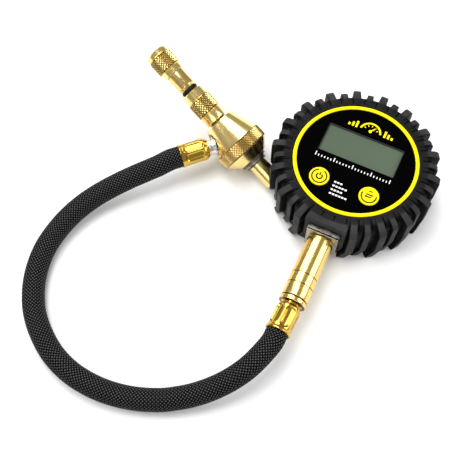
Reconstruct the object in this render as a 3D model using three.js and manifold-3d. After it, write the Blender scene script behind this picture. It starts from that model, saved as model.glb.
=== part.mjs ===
// Tyre deflator with a digital pressure gauge.
//
// Millimetres, +Z up. The gauge lies on its back on the surface z = 0, with the origin in the
// middle of the rubber boot's flat back. +Y is the display's "up", so the brass stem leaves the
// gauge along -Y. The braided hose runs in a loop to the deflator head, which lies on the same
// surface, tilted so that its knurled band and the rim of its valve end both touch it.

import * as THREE from "three";
import { mergeVertices } from "three/addons/utils/BufferGeometryUtils.js";
import Module from "manifold-3d";

const wasm = await Module();
wasm.setup();

// ---------------------------------------------------------------- driving dimensions

const GAP = 0.3; // clearance between neighbours that touch on the real object

// rubber boot, shaped like an off-road tyre
const BOOT_ROOT_RADIUS = 46.5; // between the lugs
const BOOT_LIP_TOP = 34.4; // highest point of the front lip
const BOOT_BACK = 2.2; // thickness of the closed back
const LIP_RADIUS = 38.0; // round opening in the front
const LUG_COUNT = 36; // big and small lugs take turns
const BIG_LUG = { tip: 51.0, width: 4.6 };
const SMALL_LUG = { tip: 49.0, width: 3.8 };
const RIM_FRONT = 46.4; // flat front of the plain rim round the stem's block

// gauge case and face
const CASE_RADIUS = 39.9;
const CASE_WALL = 2.2;
const CASE_BACK = BOOT_BACK + GAP;
const CASE_TOP = 27.3;
const HOUSING_TOP = 32.7; // front housing, under the boot's lip
const HOUSING_BOTTOM = 30.6;
const LABEL_RADIUS = 35.2;
const LABEL_TOP = 33.6;
const RING_INNER = 35.4;
const RING_OUTER = 37.6;
const RING_TOP = 34.0;
const WINDOW = { x: 0.2, y: 8.2, width: 48.4, height: 20.8 };
const BUTTON_X = 15.6;
const BUTTON_Y = -19.5;
const BUTTON_RADIUS = 6.0;
const BUTTON_TOP = 34.0;

// stem, along -Y at half the height of the gauge
const STEM_Z = 16.75;
const BLOCK_HALF = 9.75; // half the side of the square socket block
const BLOCK_FRONT = 50.4; // distance of its front face from the gauge's axis
const STEM_RADIUS = 8.1;
const STEM_END = 90.3;
const TAIL_END = 93.7;
const STEM_FERRULE_LENGTH = 17.6;
const STEM_FERRULE_YAW = THREE.MathUtils.degToRad(2.5); // the hose pulls its end aside

// hose
const HOSE_RADIUS = 6.7;
const HOSE_SIDES = 10;
const HOSE_STEPS = 44;

// deflator head; its own axis runs from the valve end to the pull knob, 0 at the knurled band
const HEAD_AT = new THREE.Vector3(-69.3, -11.6, 16.72);
const HEAD_HEADING = THREE.MathUtils.degToRad(162.1);
const HEAD_TILT = THREE.MathUtils.degToRad(21.5);
const PORT_LEAN = THREE.MathUtils.degToRad(25); // hose port, from square to the head's axis
const BAND_RADIUS = 16.3;
const BAND_HALF = 4.0;
const COLLAR_FRONT = { at: 21.1, radius: 9.9 };
const COLLAR_REAR = { at: -10.3, radius: 10.2 };
const TUBE_RADIUS = 5.8;
const TUBE_END = -30.2;
const GRIP_START = 21.6;
const GRIP_END = 45.7;
const KNURL_RADIUS = 8.0;
const ROD_RADIUS = 2.5;
const SHANK_RADIUS = 5.85;
const KNOB_START = 60.9;
const KNOB_END = 78.5;
const PORT_AT = 6.0; // where the hose port's axis meets the head's axis
const PORT_FACE = 13.2; // round seat, measured along the port from the head's axis
const HEAD_FERRULE_START = 18.2;
const HEAD_FERRULE_END = 35.9;

// ---------------------------------------------------------------- materials

const FINISHES = {
  rubber: [0x2b2b2c, 0.85, 0],
  black_plastic: [0x151516, 0.5, 0],
  yellow_plastic: [0xf2e600, 0.45, 0],
  lcd_glass: [0x6f7f6c, 0.2, 0],
  white_plastic: [0xd8d8d2, 0.6, 0],
  board_green: [0x1f5a34, 0.6, 0],
  battery_wrap: [0x3a3f46, 0.4, 0.3],
  brass: [0xc9a24a, 0.28, 1],
  nickel: [0xc8c3b8, 0.3, 1],
  steel: [0x9a9a98, 0.35, 1],
  dark_steel: [0x35322d, 0.45, 1],
  seal_rubber: [0x121212, 0.7, 0],
  braid: [0x17181a, 0.75, 0],
};

function finish(name) {
  const [color, roughness, metalness] = FINISHES[name];
  return new THREE.MeshStandardMaterial({ color, roughness, metalness });
}

function piece(name, geometry, finishName, at = [0, 0, 0]) {
  const mesh = new THREE.Mesh(geometry, finish(finishName));
  mesh.name = name;
  mesh.position.set(...at);
  return mesh;
}

// ---------------------------------------------------------------- solids and booleans

function welded(geometry) {
  const copy = geometry.clone();
  copy.deleteAttribute("normal");
  copy.deleteAttribute("uv");
  return mergeVertices(copy, 1e-4);
}

function toSolid(geometry) {
  const merged = welded(geometry);
  const vertProperties = new Float32Array(merged.getAttribute("position").array);
  const triVerts = new Uint32Array(merged.getIndex().array);
  return new wasm.Manifold(new wasm.Mesh({ numProp: 3, vertProperties, triVerts }));
}

function toGeometry(solid) {
  const mesh = solid.getMesh();
  const geometry = new THREE.BufferGeometry();
  geometry.setAttribute("position", new THREE.BufferAttribute(mesh.vertProperties, 3));
  geometry.setIndex(new THREE.BufferAttribute(mesh.triVerts, 1));
  return geometry;
}

// the first geometry, with every "add" joined on and then every "cut" taken away
function combine(base, { add = [], cut = [] }) {
  let solid = toSolid(base);
  for (const extra of add) {
    solid = solid.add(toSolid(extra));
  }
  for (const tool of cut) {
    solid = solid.subtract(toSolid(tool));
  }
  return toGeometry(solid);
}

// solid of revolution about Z from [radius, height] points, closed along the axis or on itself
function turned(points, segments = 32) {
  const outline = points.map(([radius, height]) => new THREE.Vector2(radius, height));
  if (points[0][0] > 0) {
    outline.push(outline[0].clone());
  }
  const spun = welded(new THREE.LatheGeometry(outline, segments));
  spun.rotateX(Math.PI / 2);
  return facingOut(spun);
}

// turns every triangle round when the surface encloses a negative volume
function facingOut(geometry) {
  const position = geometry.getAttribute("position");
  const index = geometry.getIndex();
  const [a, b, c] = [new THREE.Vector3(), new THREE.Vector3(), new THREE.Vector3()];
  const kept = [];
  let volume = 0;
  for (let i = 0; i < index.count; i += 3) {
    const corners = [index.getX(i), index.getX(i + 1), index.getX(i + 2)];
    if (new Set(corners).size < 3) {
      continue;
    }
    kept.push(...corners);
    a.fromBufferAttribute(position, corners[0]);
    b.fromBufferAttribute(position, corners[1]);
    c.fromBufferAttribute(position, corners[2]);
    volume += a.dot(b.cross(c));
  }
  if (volume < 0) {
    kept.reverse();
  }
  geometry.setIndex(kept);
  return geometry;
}

function rod(radius, low, high, segments = 24) {
  const shape = new THREE.CylinderGeometry(radius, radius, high - low, segments);
  shape.rotateX(Math.PI / 2);
  shape.translate(0, 0, (low + high) / 2);
  return shape;
}

function ring(inner, outer, low, high, segments = 32) {
  return turned([[inner, low], [outer, low], [outer, high], [inner, high]], segments);
}

function block(x, y, low, high, width, depth) {
  const shape = new THREE.BoxGeometry(width, depth, high - low);
  shape.translate(x, y, (low + high) / 2);
  return shape;
}

// a row of radial drillings through a tube about Z
function crossHoles(radius, height, reach) {
  const holes = [];
  for (let i = 0; i < 2; i += 1) {
    const hole = rod(radius, -reach, reach, 10);
    hole.rotateX(Math.PI / 2);
    hole.rotateZ((i * Math.PI) / 2);
    hole.translate(0, 0, height);
    holes.push(hole);
  }
  return holes;
}

// ---------------------------------------------------------------- rubber boot

// one lug: its outline in the radial plane, given a width round the boot
function lug(angle, { tip, width }) {
  const outline = new THREE.Shape();
  outline.moveTo(BOOT_ROOT_RADIUS - 1.5, 0.5);
  outline.lineTo(tip - 0.9, 0.5);
  outline.lineTo(tip, 13);
  outline.lineTo(tip, 30.4);
  outline.lineTo(tip - 2.2, 32.6);
  outline.lineTo(BOOT_ROOT_RADIUS - 1.5, 33.6);
  outline.closePath();
  const shape = new THREE.ExtrudeGeometry(outline, { depth: width, bevelEnabled: false });
  shape.translate(0, 0, -width / 2);
  shape.rotateX(Math.PI / 2);
  shape.rotateZ(angle);
  return shape;
}

// lugs all the way round, less the three where the stem's block comes out
function lugs() {
  const all = [];
  for (let k = 2; k <= LUG_COUNT - 2; k += 1) {
    const size = k % 2 === 0 ? BIG_LUG : SMALL_LUG;
    all.push(lug(-Math.PI / 2 + (2 * Math.PI * k) / LUG_COUNT, size));
  }
  return all;
}

function rubberBoot() {
  const cavity = CASE_RADIUS + 0.4;
  const lipUnderside = HOUSING_TOP + GAP;
  const shell = turned(
    [
      [0, 0],
      [BOOT_ROOT_RADIUS - 2, 0],
      [BOOT_ROOT_RADIUS, 3],
      [BOOT_ROOT_RADIUS, 30],
      [BOOT_ROOT_RADIUS - 2.8, BOOT_LIP_TOP - 0.6],
      [BOOT_ROOT_RADIUS - 4.2, BOOT_LIP_TOP],
      [LIP_RADIUS + 0.4, BOOT_LIP_TOP],
      [LIP_RADIUS, lipUnderside],
      [cavity, lipUnderside],
      [cavity, BOOT_BACK],
      [0, BOOT_BACK],
    ],
    66,
  );
  const notchHalf = BLOCK_HALF + GAP;
  const notch = block(0, -RIM_FRONT - 1.4, STEM_Z - notchHalf, STEM_Z + notchHalf, 2 * notchHalf, 20);
  const rim = block(0, -RIM_FRONT + 3, 3, 31.8, 2 * notchHalf + 4.4, 6);
  // hollow in the tread where the valve end of the head's tube lies against it
  const hollow = fromHead(rod(TUBE_RADIUS + 0.5, TUBE_END - 0.5, COLLAR_REAR.at, 24));
  const cut = [notch, hollow];
  return piece("rubber_boot", combine(shell, { add: [rim, ...lugs()], cut }), "rubber");
}

// ---------------------------------------------------------------- gauge

const POST_RADIUS = 3.2;
const POST_AT = 33.2; // distance of the screw posts from the gauge's axis
const DOOR = { y: 6.5, width: 52, depth: 26, thickness: 2 };

function postPlaces() {
  return [50, 130, 215, 325].map((degrees) => {
    const angle = THREE.MathUtils.degToRad(degrees);
    return [POST_AT * Math.cos(angle), POST_AT * Math.sin(angle)];
  });
}

function postRods(radius, low, high) {
  return postPlaces().map(([x, y]) => rod(radius, low, high, 16).translate(x, y, 0));
}

function caseShell() {
  const floor = CASE_BACK + DOOR.thickness;
  const inner = CASE_RADIUS - CASE_WALL;
  const cup = turned(
    [
      [0, CASE_BACK],
      [CASE_RADIUS, CASE_BACK],
      [CASE_RADIUS, CASE_TOP],
      [inner, CASE_TOP],
      [inner, floor],
      [0, floor],
    ],
    48,
  );
  const notchHalf = BLOCK_HALF + GAP;
  const notch = block(0, -inner, STEM_Z - notchHalf, STEM_Z + notchHalf, 2 * notchHalf, 12);
  const doorway = block(0, DOOR.y, 0, floor + 1, DOOR.width + 2 * GAP, DOOR.depth + 2 * GAP);
  return piece(
    "case_shell",
    combine(cup, {
      add: postRods(POST_RADIUS, floor - 0.5, CASE_TOP - 0.5),
      cut: [...postRods(1.5, 0, CASE_TOP), ...postRods(2.6, 0, 5), notch, doorway],
    }),
    "black_plastic",
  );
}

function batteryDoor() {
  const top = CASE_BACK + DOOR.thickness;
  const plate = block(0, DOOR.y, CASE_BACK, top, DOOR.width, DOOR.depth);
  return piece("battery_door", plate, "black_plastic");
}

function caseScrews() {
  const outline = [[0, 2.8], [2.3, 2.8], [2.3, 4.7], [1.15, 4.8], [1.15, 29], [0, 29.6]];
  return postPlaces().map(([x, y], i) =>
    piece(`case_screw_${i + 1}`, turned(outline, 12), "steel", [x, y, 0]),
  );
}

function windowOpening(low, high) {
  const { x, y, width, height } = WINDOW;
  return block(x, y, low, high, width, height);
}

function buttonBores(low, high) {
  return [-BUTTON_X, BUTTON_X].map((x) =>
    rod(BUTTON_RADIUS + GAP, low, high, 28).translate(x, BUTTON_Y, 0),
  );
}

function frontHousing() {
  const skirt = CASE_RADIUS - CASE_WALL;
  const cap = turned(
    [
      [0, HOUSING_BOTTOM],
      [skirt, HOUSING_BOTTOM],
      [skirt, CASE_TOP + GAP],
      [CASE_RADIUS, CASE_TOP + GAP],
      [CASE_RADIUS, HOUSING_TOP],
      [0, HOUSING_TOP],
    ],
    48,
  );
  const through = [windowOpening(0, 40), ...buttonBores(0, 40)];
  return piece(
    "front_housing",
    combine(cap, {
      add: postRods(3, CASE_TOP + GAP, HOUSING_BOTTOM + 0.5),
      cut: [...postRods(1.4, CASE_TOP, 30), ...through],
    }),
    "black_plastic",
  );
}

function faceLabel() {
  const disc = rod(LABEL_RADIUS, HOUSING_TOP + GAP, LABEL_TOP, 48);
  const cut = [windowOpening(0, 40), ...buttonBores(0, 40)];
  return piece("face_label", combine(disc, { cut }), "black_plastic");
}

function faceRing() {
  const shape = ring(RING_INNER, RING_OUTER, HOUSING_TOP + GAP, RING_TOP, 48);
  return piece("face_ring", shape, "yellow_plastic");
}

function display() {
  const { x, y, width, height } = WINDOW;
  const lens = block(x, y, 30.6, 31.7, width - 2 * GAP, height - 2 * GAP);
  const cell = block(x, y, 28.4, 30.3, width + 5, height + 3);
  const backlight = block(x, y - 2, 26.4, 28.1, width, height - 4);
  const zebra = block(x, y + height / 2 - 0.4, 25.4, 28.1, width, 2.2);
  return [
    piece("lcd_window", lens, "lcd_glass"),
    piece("lcd_panel", cell, "lcd_glass"),
    piece("backlight_panel", backlight, "white_plastic"),
    piece("zebra_strip", zebra, "seal_rubber"),
  ];
}

function electronics() {
  const bay = block(0, -38, 20, 26, 2 * (BLOCK_HALF + GAP), 15); // clears the stem's block
  const board = combine(rod(36, 23.5, 25.1, 40), {
    cut: [...postRods(POST_RADIUS + GAP, 20, 26), bay],
  });
  const switches = [-1, 1].map((side) =>
    combine(block(side * BUTTON_X, BUTTON_Y, 25.4, 27.6, 6, 6), {
      add: [rod(1.7, 27.4, 28.2, 14).translate(side * BUTTON_X, BUTTON_Y, 0)],
    }),
  );
  return [
    piece("circuit_board", board, "board_green"),
    piece("power_switch", switches[0], "black_plastic"),
    piece("units_switch", switches[1], "black_plastic"),
  ];
}

const CELL = { radius: 5.25, length: 44.5, z: 11.4, spacing: 11.2, y: 6.5 };

function powerSupply() {
  const half = CELL.length / 2;
  const places = [CELL.y - CELL.spacing / 2, CELL.y + CELL.spacing / 2];
  const cells = places.map((y, i) => {
    const can = turned(
      [
        [0, -half],
        [CELL.radius, -half],
        [CELL.radius, half - 1],
        [1.9, half - 1],
        [1.9, half],
        [0, half],
      ],
      20,
    );
    can.rotateY(i === 0 ? Math.PI / 2 : -Math.PI / 2);
    return piece(`battery_${i + 1}`, can, "battery_wrap", [0, y, CELL.z]);
  });
  const trayFloor = CASE_BACK + DOOR.thickness + GAP;
  const depth = 2 * CELL.radius + CELL.spacing + 0.8;
  const tray = combine(block(0, CELL.y, trayFloor, 12, CELL.length + 5.6, depth + 2), {
    cut: [block(0, CELL.y, trayFloor + 1, 13, CELL.length + 2.6, depth)],
  });
  const plates = [-1, 1].map((side) =>
    piece(
      side < 0 ? "battery_contact_left" : "battery_contact_right",
      block(side * (half + 0.6), CELL.y, 6.4, 15.8, 0.5, depth - 2),
      "nickel",
    ),
  );
  return { cells, tray: piece("battery_tray", tray, "black_plastic"), plates };
}

function button(name, side) {
  const x = side * BUTTON_X;
  const shape = turned(
    [
      [0, 28.9],
      [2, 28.9],
      [2, 29.4],
      [7.2, 29.4],
      [7.2, HOUSING_BOTTOM - GAP],
      [BUTTON_RADIUS, HOUSING_BOTTOM - GAP],
      [BUTTON_RADIUS, BUTTON_TOP - 0.3],
      [BUTTON_RADIUS - 0.3, BUTTON_TOP],
      [0, BUTTON_TOP],
    ],
    28,
  );
  return piece(name, shape, "yellow_plastic", [x, BUTTON_Y, 0]);
}

// ---------------------------------------------------------------- stem

// pieces about the stem's axis are drawn with +Z pointing away from the gauge
const stemGroup = new THREE.Group();
stemGroup.position.set(0, 0, STEM_Z);
stemGroup.rotation.x = Math.PI / 2;

function stemSocket() {
  const back = 31;
  const side = 2 * BLOCK_HALF;
  const body = block(0, 0, back, BLOCK_FRONT, side, side);
  return piece(
    "stem_socket",
    combine(body, { cut: [rod(4.8, BLOCK_FRONT - 9, 60), rod(1.6, 0, 60, 12)] }),
    "nickel",
  );
}

function pressureSensor() {
  const can = turned([[0, 21], [3.4, 21], [3.4, 23], [6.3, 23], [6.3, 30.7], [0, 30.7]], 24);
  return piece("pressure_sensor", can, "steel");
}

// fixed tail piece: threaded into the block, it carries the hose and the turning stem tube
function hoseTail() {
  const shape = turned(
    [
      [1.6, BLOCK_FRONT - 8.5],
      [4.5, BLOCK_FRONT - 8.5],
      [4.5, STEM_END + GAP],
      [STEM_RADIUS, STEM_END + GAP],
      [STEM_RADIUS, TAIL_END - 0.6],
      [STEM_RADIUS - 0.6, TAIL_END],
      [4.0, TAIL_END],
      [4.0, TAIL_END + 0.7],
      [1.6, TAIL_END + 0.7],
    ],
    32,
  );
  return piece("hose_tail", shape, "brass");
}

function stemTube() {
  const start = BLOCK_FRONT + GAP;
  const shape = turned(
    [
      [4.8, start],
      [STEM_RADIUS - 0.7, start],
      [STEM_RADIUS, start + 0.7],
      [STEM_RADIUS, STEM_END - 0.4],
      [STEM_RADIUS - 0.4, STEM_END],
      [6.2, STEM_END],
      [6.2, STEM_END - 3],
      [4.8, STEM_END - 3],
    ],
    32,
  );
  return piece("stem_tube", shape, "brass");
}

// the ferrule is drawn from its own end at 0 and swung aside about it
const ferruleGroup = new THREE.Group();
ferruleGroup.position.set(0, 0, TAIL_END + 0.7 + GAP);
ferruleGroup.rotation.y = -STEM_FERRULE_YAW;
stemGroup.add(ferruleGroup);

function stemFerrule() {
  const length = STEM_FERRULE_LENGTH;
  const shape = turned(
    [
      [1.6, 0.6],
      [4.6, 0.6],
      [5.6, 0.9],
      [6.8, 2.2],
      [7.1, length - 2],
      [7.6, length - 1],
      [7.6, length],
      [1.6, length],
    ],
    32,
  );
  return piece("stem_ferrule", shape, "brass");
}

// ---------------------------------------------------------------- deflator head

// the head group's +Z is the head's axis, towards the knob, and its +X the side of the hose port
const headAxis = new THREE.Vector3(
  Math.cos(HEAD_TILT) * Math.cos(HEAD_HEADING),
  Math.cos(HEAD_TILT) * Math.sin(HEAD_HEADING),
  Math.sin(HEAD_TILT),
);
const headRoll = -Math.asin(Math.tan(PORT_LEAN) * Math.tan(HEAD_TILT)); // levels the port
const headSide = new THREE.Vector3(-Math.sin(HEAD_HEADING), Math.cos(HEAD_HEADING), 0);
headSide.applyAxisAngle(headAxis, headRoll);
const headGroup = new THREE.Group();
headGroup.position.copy(HEAD_AT);
headGroup.quaternion.setFromRotationMatrix(
  new THREE.Matrix4().makeBasis(headSide, headAxis.clone().cross(headSide), headAxis),
);

// moves a shape drawn in the head's frame into the gauge's frame
function fromHead(shape) {
  headGroup.updateMatrix();
  return shape.applyMatrix4(headGroup.matrix);
}

// the hose port stands out of the collar's cone and is level
const portGroup = new THREE.Group();
portGroup.position.set(0, 0, PORT_AT);
portGroup.rotation.y = Math.PI / 2 - PORT_LEAN;
headGroup.add(portGroup);

// moves a shape drawn in the port's frame into the head's frame
function fromPort(shape) {
  portGroup.updateMatrix();
  return shape.applyMatrix4(portGroup.matrix);
}

const CAVITY = { radius: 8.3, step: 2.2, chamber: 7.2, chamberTop: 10.6 };
const PORT_SEAT = 7.0; // radius of the round flat sunk into the cone for the hose's neck

function slideCollar() {
  const front = COLLAR_FRONT;
  const rear = COLLAR_REAR;
  const body = turned(
    [
      [TUBE_RADIUS + GAP, front.at],
      [TUBE_RADIUS + GAP, CAVITY.chamberTop],
      [CAVITY.chamber, CAVITY.chamberTop],
      [CAVITY.chamber, CAVITY.step],
      [CAVITY.radius, CAVITY.step],
      [CAVITY.radius, rear.at],
      [rear.radius, rear.at],
      [BAND_RADIUS, -BAND_HALF],
      [BAND_RADIUS, BAND_HALF],
      [front.radius, front.at - 0.5],
      [front.radius - 0.4, front.at],
    ],
    40,
  );
  const seat = fromPort(rod(PORT_SEAT, PORT_FACE, 30, 28));
  const port = fromPort(rod(4.3, 9.6, 30, 20));
  const airway = fromPort(rod(1.8, 3, 30, 12));
  return piece("slide_collar", combine(body, { cut: [seat, port, airway] }), "brass");
}

function glandPieces() {
  const start = COLLAR_REAR.at;
  const bore = TUBE_RADIUS + GAP;
  const nut = turned(
    [
      [bore, start - 3.9],
      [6.6, start - 3.9],
      [6.6, start - 1.5],
      [8.75, start - 1.5],
      [8.75, start - GAP],
      [7.9, start - GAP],
      [7.9, start + 3.3],
      [bore, start + 3.3],
    ],
    28,
  );
  return [
    piece("gland_nut", nut, "dark_steel"),
    piece("gland_washer", ring(6.9, 7.6, start - 2.7, start - 1.8, 28), "nickel"),
    piece("retaining_ring", ring(6.9, 7.2, start - 3.9, start - 3.0, 28), "dark_steel"),
  ];
}

// grooves in the tube for its two seals, and the ring that stops it inside the collar
const SEALS_AT = [12.4, 19.3];
const VENTS_AT = 15.9;
const SHOULDER = { low: -6.7, high: -3.6, radius: 8.0 };

function valveTube() {
  const body = turned(
    [
      [3.2, -16.2],
      [3.95, -16.2],
      [3.95, TUBE_END],
      [TUBE_RADIUS - 0.6, TUBE_END],
      [TUBE_RADIUS, TUBE_END + 0.6],
      [TUBE_RADIUS, SHOULDER.low],
      [SHOULDER.radius, SHOULDER.low],
      [SHOULDER.radius, SHOULDER.high],
      [TUBE_RADIUS, SHOULDER.high],
      [TUBE_RADIUS, GRIP_START],
      [7.35, GRIP_START],
      [7.35, 29],
      [KNURL_RADIUS, 29.4],
      [KNURL_RADIUS, 39.2],
      [7.1, 39.6],
      [7.1, GRIP_END - 0.4],
      [6.7, GRIP_END],
      [3.2, GRIP_END],
    ],
    32,
  );
  const grooves = SEALS_AT.map((z) => ring(4.7, 9, z - 0.9, z + 0.9, 24));
  const glandGroove = ring(3, 4.4, 32, 34, 20);
  const vents = crossHoles(1.1, VENTS_AT, 9);
  const ports = crossHoles(1.5, 5.5, 9);
  return piece(
    "valve_tube",
    combine(body, { cut: [...grooves, glandGroove, ...vents, ...ports] }),
    "brass",
  );
}

function coreRod() {
  const shape = turned(
    [
      [0, -13.7],
      [ROD_RADIUS, -13.7],
      [ROD_RADIUS, GRIP_END + 0.3],
      [4.3, GRIP_END + 0.3],
      [4.3, 48.7],
      [4.9, 48.7],
      [SHANK_RADIUS, 50],
      [SHANK_RADIUS, KNOB_START - GAP],
      [3.0, KNOB_START - GAP],
      [3.0, KNOB_START + 8],
      [0, KNOB_START + 8],
    ],
    28,
  );
  return piece("core_rod", shape, "brass");
}

function coreSocket() {
  const body = turned([[1.3, -24], [2.3, -24], [2.3, -14], [0, -14], [0, -20], [1.3, -20]], 20);
  const slot = block(0, 0, -30, -21.5, 1.1, 8);
  return piece("core_socket", combine(body, { cut: [slot] }), "steel");
}

function pullKnob() {
  const shape = turned(
    [
      [3.3, KNOB_START],
      [6.85, KNOB_START],
      [6.85, 65.1],
      [KNURL_RADIUS, 65.5],
      [KNURL_RADIUS, 74.4],
      [7.25, 74.8],
      [7.25, KNOB_END - 0.8],
      [6.45, KNOB_END],
      [0, KNOB_END],
      [0, KNOB_START + 8.4],
      [3.3, KNOB_START + 8.4],
    ],
    32,
  );
  return piece("pull_knob", shape, "brass");
}

function headSeals() {
  const seals = SEALS_AT.map((z) => ring(4.95, 5.85, z - 0.65, z + 0.65, 24));
  return [
    piece("inner_seal", seals[0], "seal_rubber"),
    piece("vent_seal", seals[1], "seal_rubber"),
    piece("rod_seal", ring(4.55, 5.6, 46.3, 48.4, 24), "seal_rubber"),
    piece("gland_seal", ring(2.75, 4.15, 32.3, 33.7, 20), "seal_rubber"),
    piece("valve_gasket", ring(2.6, 3.7, -18.6, -16.8, 20), "seal_rubber"),
  ];
}

// ---------------------------------------------------------------- hose and its head end

function headFerrule() {
  const shape = turned(
    [
      [1.8, HEAD_FERRULE_START],
      [5.6, HEAD_FERRULE_START],
      [6.8, HEAD_FERRULE_START + 1.4],
      [7.0, HEAD_FERRULE_END - 2],
      [7.2, HEAD_FERRULE_END],
      [1.8, HEAD_FERRULE_END],
    ],
    32,
  );
  return piece("head_ferrule", shape, "brass");
}

function hoseNeck() {
  const shape = turned(
    [
      [1.6, 9.6],
      [4.0, 9.6],
      [4.0, PORT_FACE + GAP],
      [5.2, PORT_FACE + GAP],
      [5.2, HEAD_FERRULE_START - GAP],
      [1.6, HEAD_FERRULE_START - GAP],
    ],
    24,
  );
  return piece("hose_neck", shape, "nickel");
}

// The hose's middle line between the two ferrules: it comes down from the head, lies on the
// surface round the loop and rises again to the stem.
const LIE = HOSE_RADIUS + 0.1;
const HOSE_LEADS = [0, 2, 6]; // distances over which the hose runs straight on from a ferrule
const HOSE_ROUTE = [
  [-109.7, -46.6, 18.0],
  [-116.3, -53.5, 16.4],
  [-123.2, -60.6, 14.4],
  [-129.7, -68.0, 12.4],
  [-136.2, -76.7, 10.6],
  [-141.8, -86.4, 9.0],
  [-145.9, -97.0, 7.8],
  [-148.4, -108.4, LIE],
  [-148.8, -120.4, LIE],
  [-146.4, -134.0, LIE],
  [-141.2, -146.9, LIE],
  [-133.4, -158.4, LIE],
  [-123.4, -167.6, LIE],
  [-111.3, -175.2, LIE],
  [-98.2, -179.8, LIE],
  [-85.0, -181.5, LIE],
  [-71.6, -180.9, LIE],
  [-57.6, -177.9, 7.2],
  [-43.7, -172.5, 8.2],
  [-36.4, -168.3, 9.1],
  [-29.5, -163.6, 10.2],
  [-22.7, -157.8, 11.6],
  [-16.6, -151.4, 13.1],
  [-10.9, -143.8, 14.7],
  [-6.0, -134.6, 15.9],
];

function hose() {
  headGroup.updateWorldMatrix(true, true);
  const leave = HOSE_LEADS.map((lead) =>
    new THREE.Vector3(0, 0, HEAD_FERRULE_END + GAP + lead).applyMatrix4(portGroup.matrixWorld),
  );
  const middle = HOSE_ROUTE.map(([x, y, z]) => new THREE.Vector3(x, y, z));
  stemGroup.updateWorldMatrix(true, true);
  const arrive = HOSE_LEADS.map((lead) =>
    new THREE.Vector3(0, 0, STEM_FERRULE_LENGTH + GAP + lead).applyMatrix4(ferruleGroup.matrixWorld),
  ).reverse();
  const path = new THREE.CatmullRomCurve3([...leave, ...middle, ...arrive], false, "centripetal");
  const section = new THREE.Shape();
  for (let i = 0; i < HOSE_SIDES; i += 1) {
    const angle = (2 * Math.PI * i) / HOSE_SIDES;
    const [x, y] = [HOSE_RADIUS * Math.cos(angle), HOSE_RADIUS * Math.sin(angle)];
    if (i === 0) {
      section.moveTo(x, y);
    } else {
      section.lineTo(x, y);
    }
  }
  section.closePath();
  const tube = new THREE.ExtrudeGeometry(section, {
    steps: HOSE_STEPS,
    extrudePath: path,
    bevelEnabled: false,
  });
  return piece("hose", facingOut(welded(tube)), "braid");
}

// ---------------------------------------------------------------- assembly

const supply = powerSupply();
const object = new THREE.Group();
object.add(
  rubberBoot(),
  caseShell(),
  batteryDoor(),
  ...caseScrews(),
  frontHousing(),
  faceLabel(),
  faceRing(),
  ...display(),
  ...electronics(),
  ...supply.cells,
  supply.tray,
  ...supply.plates,
  button("power_button", -1),
  button("units_button", 1),
);
stemGroup.add(stemSocket(), pressureSensor(), hoseTail(), stemTube());
ferruleGroup.add(stemFerrule());
headGroup.add(
  slideCollar(),
  ...glandPieces(),
  valveTube(),
  coreRod(),
  coreSocket(),
  pullKnob(),
  ...headSeals(),
);
portGroup.add(hoseNeck(), headFerrule());
object.add(stemGroup, headGroup, hose());

export default object;
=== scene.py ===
"""Tyre deflator with a digital pressure gauge: the visible model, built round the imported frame."""

import math
import random

import bmesh
import bpy
from mathutils import Matrix, Vector


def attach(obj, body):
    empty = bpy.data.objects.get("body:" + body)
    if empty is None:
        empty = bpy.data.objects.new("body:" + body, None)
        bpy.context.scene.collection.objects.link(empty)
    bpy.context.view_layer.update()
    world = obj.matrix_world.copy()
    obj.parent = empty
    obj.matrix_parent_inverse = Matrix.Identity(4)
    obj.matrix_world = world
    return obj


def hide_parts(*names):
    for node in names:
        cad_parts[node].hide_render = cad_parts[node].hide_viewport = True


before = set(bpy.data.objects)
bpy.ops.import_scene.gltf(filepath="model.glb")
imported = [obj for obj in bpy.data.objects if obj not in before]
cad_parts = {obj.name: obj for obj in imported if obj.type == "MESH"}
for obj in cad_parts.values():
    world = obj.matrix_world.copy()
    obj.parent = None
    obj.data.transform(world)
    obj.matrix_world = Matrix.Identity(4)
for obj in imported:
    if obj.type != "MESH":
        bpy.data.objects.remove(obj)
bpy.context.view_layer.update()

MM = 0.001
TAU = 2 * math.pi
RNG = random.Random(7)

# ---------------------------------------------------------------- sizes, in millimetres

GAP = 0.3
STEM_Z = 16.75
TAIL_END = 93.7
BLOCK_FRONT = 50.4
BLOCK_HALF = 9.75
STEM_RADIUS = 8.1
STEM_END = 90.3
STEM_GROOVES = (75.6, 82.2)
STEM_FERRULE_LENGTH = 17.6
STEM_FERRULE_YAW = math.radians(2.5)

HEAD_AT = Vector((-69.3, -11.6, 16.72))
HEAD_HEADING = math.radians(162.1)
HEAD_TILT = math.radians(21.5)
PORT_LEAN = math.radians(25)
PORT_AT = 6.0
PORT_FACE = 13.2
HEAD_FERRULE_START = 18.2
HEAD_FERRULE_END = 35.9

COLLAR_BORE = 6.15
TUBE_RADIUS = 5.8
TUBE_BORE = 3.2
TUBE_END = -30.2  # rim of the valve end
TUBE_FRONT = 45.7
KNURL_RADIUS = 8.0
KNURL_PITCH = 2.0
FERRULE_BORE = 6.75  # where it grips the hose

HOSE_RADIUS = 6.7
LIE = HOSE_RADIUS + 0.1

WINDOW = (0.2, 8.2, 48.4, 20.8)  # centre x, centre y, width, height
BUTTON_X = 15.6
BUTTON_Y = -19.5
BUTTON_BORE = 6.3
LABEL_RADIUS = 35.2
LABEL_TOP = 33.6
PICTOGRAM = (0.6, 21.2)  # middle of the printed gauge
SCALE_STEPS = 24
SCALE_WIDTH = 46.8
DOT_ROWS = (3, 5, 4, 6)  # printed dots in each row
DOT_STEP = 1.9
ROW_STEP = 2.7


# ---------------------------------------------------------------- frames


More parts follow.
